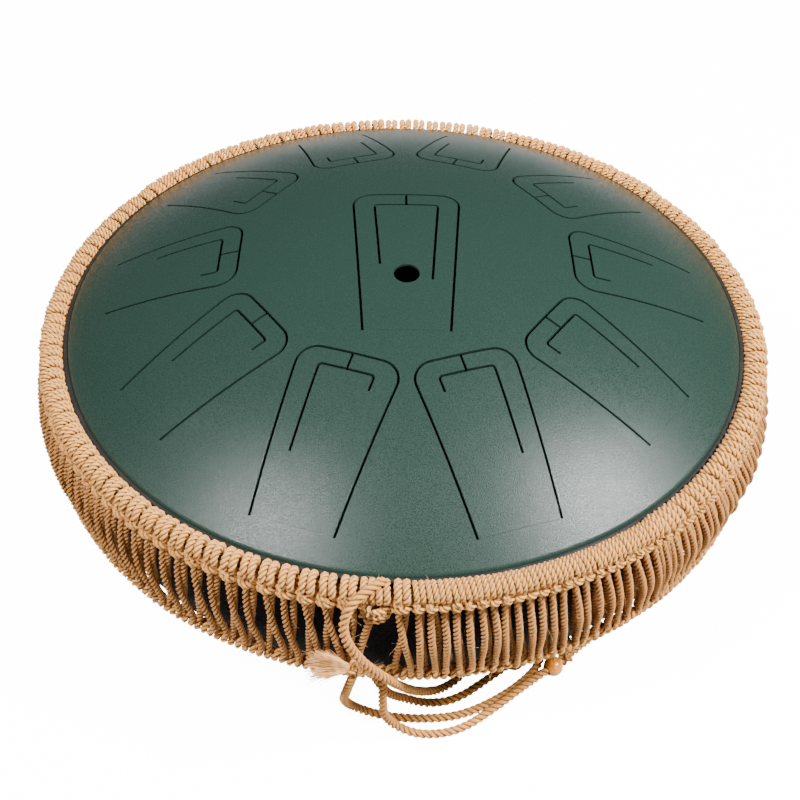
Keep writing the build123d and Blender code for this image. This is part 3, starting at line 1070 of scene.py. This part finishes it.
def makeTassel(settings, material):
    low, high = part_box("tassel")
    knot = centreOf("tassel_knot")
    end = Vector((low.x, (low.y + high.y) / 2, (low.z + high.z) / 2))
    way = (end - knot).normalized()
    curve = fibreCurve("tassel_fibres", 3)
    side = way.cross(Vector((0, 0, 1))).normalized()
    up = side.cross(way).normalized()
    least, more = settings["shorten"]
    for index in range(settings["count"]):
        turn, reach = chance.uniform(0, 2 * math.pi), math.sqrt(chance.random())
        fan = side * math.cos(turn) * reach + up * math.sin(turn) * reach * settings["flat"]
        root = knot + way * settings["start"] + fan * settings["root"]
        length = chance.uniform(*settings["length"]) * (least + more * chance.random())
        thick = settings["thick"] if index < settings["thickCount"] else 1
        thin = chance.uniform(*settings["thin"]) * thick
        spline = fibreSpline(curve, 5)
        bend = scatter() * settings["bend"]
        for step, point in enumerate(spline.points):
            share = step / 4
            spread = settings["spread"] * length * (share * 0.7 + 0.3 * share**2)
            drop = Vector((0, 0, -settings["drop"] * share**2))
            place = root + way * length * share + fan * spread + bend * share**1.5 + drop
            point.co = (*place, 1)
            point.radius = thin * (1 - settings["taper"] * share)
    mesh = evaluatedMesh(curve, "tassel_fibres")
    return addPiece("tassel_fibres", mesh, material, ["tassel"])


# stray fibres that stand out from the cords
fuzz = {
    "net": 1500,
    "ties": 700,
    "length": (0.0015, 0.007),
    "shorten": (0.4, 1),
    "thin": 0.000035,
    "taper": (1.2, 0.6),
    "scatter": 0.7,
    "bend": 0.35,
    "netLoose": 0.0015,
    "tieLoose": 0.0011,
    "tieWay": (0, -0.5, 0.3),
}


def makeFuzz(name, spots, count, settings, material):
    curve = fibreCurve(name, 2)
    full, less = settings["taper"]
    for _ in range(count):
        base, away, loose = chance.choice(spots)
        way = (away + scatter() * settings["scatter"]).normalized()
        start = base + scatter() * loose
        length = chance.uniform(*settings["length"]) * chance.uniform(*settings["shorten"])
        bend = scatter() * length * settings["bend"]
        for step, point in enumerate(fibreSpline(curve, 4).points):
            share = step / 3
            place = start + way * length * share + bend * share**2
            point.co = (place.x, place.y, max(place.z, settings["thin"]), 1)
            point.radius = settings["thin"] * (full - less * share)
    mesh = evaluatedMesh(curve, name)
    return addPiece(name, mesh, material)


# a white floor with a painted shadow under the drum, dark there in colour and in glow; floor and world are
# bright only to the camera
stage = {
    "size": 6,
    "middle": (0, 0.05),
    "glowPastShadow": (0.16, 0.188),  # distances between which the floor turns bright
    # distances over which the painted shadow under the drum fades out of the floor's colour
    "shadowFade": (0.08, 0.16),
    "paleness": 0.4,
    "brightness": 14.0,
    "roughness": 0.9,
    "ambient": 0.12,
}


def makeStage(settings):
    work = bmesh.new()
    bmesh.ops.create_grid(work, x_segments=1, y_segments=1, size=settings["size"])
    mesh = bpy.data.meshes.new("floor")
    work.to_mesh(mesh)
    work.free()
    floor = bpy.data.objects.new("floor", mesh)
    scene.collection.objects.link(floor)
    material, tree, shader = newMaterial("floor_white")
    shader.inputs["Roughness"].default_value = settings["roughness"]
    shader.inputs["Emission Color"].default_value = (1, 1, 1, 1)
    x, y = settings["middle"]
    centred = tree.nodes.new("ShaderNodeMapping")
    centred.inputs["Location"].default_value = (-x, -y, 0)
    tree.links.new(objectPlace(tree), centred.inputs["Vector"])
    reach = tree.nodes.new("ShaderNodeVectorMath")
    reach.operation = "LENGTH"
    tree.links.new(centred.outputs[0], reach.inputs[0])
    # painted shadow: the floor's colour is dark under the drum and fades to its paleness further out
    shadowFade = remap(tree, reach.outputs["Value"], *settings["shadowFade"], 0.0, settings["paleness"])
    tree.links.new(shadowFade, shader.inputs["Base Color"])
    # painted shadow: the floor glows to the camera only past the drum's edge
    glowPastShadow = remap(tree, reach.outputs["Value"], *settings["glowPastShadow"], 0.0, settings["brightness"])
    seen = tree.nodes.new("ShaderNodeLightPath").outputs["Is Camera Ray"]
    tree.links.new(mathNode(tree, "MULTIPLY", glowPastShadow, seen), shader.inputs["Emission Strength"])
    clear = tree.nodes.new("ShaderNodeMixShader")  # open from below, so that the underside can be looked at
    tree.links.new(tree.nodes.new("ShaderNodeNewGeometry").outputs["Backfacing"], clear.inputs[0])
    tree.links.new(shader.outputs[0], clear.inputs[1])
    tree.links.new(tree.nodes.new("ShaderNodeBsdfTransparent").outputs[0], clear.inputs[2])
    tree.links.new(clear.outputs[0], tree.nodes["Material Output"].inputs[0])
    mesh.materials.append(material)


lights = {
    "softboxes": (  # name, place, size, watts
        ("softbox_left", (-0.8, -0.52, 1.5), 0.36, 66),
        ("softbox_right", (1.07, -0.28, 1.37), 0.44, 118),
        ("softbox_front", (0.5, -2.0, 1.7), 1.0, 6),
    ),
    "aim": (0, 0, 0.08),
}


def makeLights(settings, around):
    for name, place, size, watts in settings["softboxes"]:
        data = bpy.data.lights.new(name, "AREA")
        data.shape = "DISK"
        data.size = size
        data.energy = watts
        obj = bpy.data.objects.new(name, data)
        scene.collection.objects.link(obj)
        obj.location = place
        back = Vector(place) - Vector(settings["aim"])
        obj.rotation_euler = back.to_track_quat("Z", "Y").to_euler()
    world = bpy.data.worlds.new("studio")
    world.use_nodes = True
    tree = world.node_tree
    tree.nodes["Background"].inputs["Color"].default_value = (1, 1, 1, 1)
    seen = tree.nodes.new("ShaderNodeLightPath").outputs["Is Camera Ray"]
    strength = remap(tree, seen, 0.0, 1.0, around["ambient"], around["brightness"])
    tree.links.new(strength, tree.nodes["Background"].inputs["Strength"])
    scene.world = world


# gathers the pieces that belong to each free cord; nothing is done with them
def declareCords(strung, stops, frayed):
    others = {key: [strung[key], stops[key]] for key in ("short", "long")}
    others["loop"] = [stops["loop"], frayed, "start_knot_cord"]


def main():
    makeCamera(camera)
    materials = makeMaterials()
    coarse, fine = plySection("section_coarse", 4), plySection("section_fine", 6)
    cords = makeTieCords(tieCord, materials["tie"], fine)
    print("cords made")
    paintDrum(materials)
    upper, lower, anchors = makeNet(net, materials["net"], coarse)
    makeStartKnot(startKnot, upper, lower, materials["net"], coarse, net)
    stops = makeKnots(knots, cords, materials["tie"], coarse)
    strung = {}
    for key, node in (("short", "bead_short"), ("long", "bead_long")):
        way = nearestWay(cords[key][1], centreOf(node))
        strung[key] = makeBead(node, way, beads, materials["wood"])
    frayed = makeTassel(tassel, materials["hair"])
    print("knots, beads and tassel made")
    spots = [(p, Vector((p.x, p.y, 0)).normalized(), fuzz["netLoose"]) for p in anchors]
    makeFuzz("net_fuzz", spots, fuzz["net"], fuzz, materials["hair"])
    along = [(p, Vector(fuzz["tieWay"]), fuzz["tieLoose"]) for _, line in cords.values() for p in line]
    makeFuzz("cord_fuzz", along, fuzz["ties"], fuzz, materials["hair"])
    print("fibres made")
    declareCords(strung, stops, frayed)
    for section in (coarse, fine):
        bpy.data.objects.remove(section)
    makeStage(stage)
    makeLights(lights, stage)
    print("floor and lights made")


main()
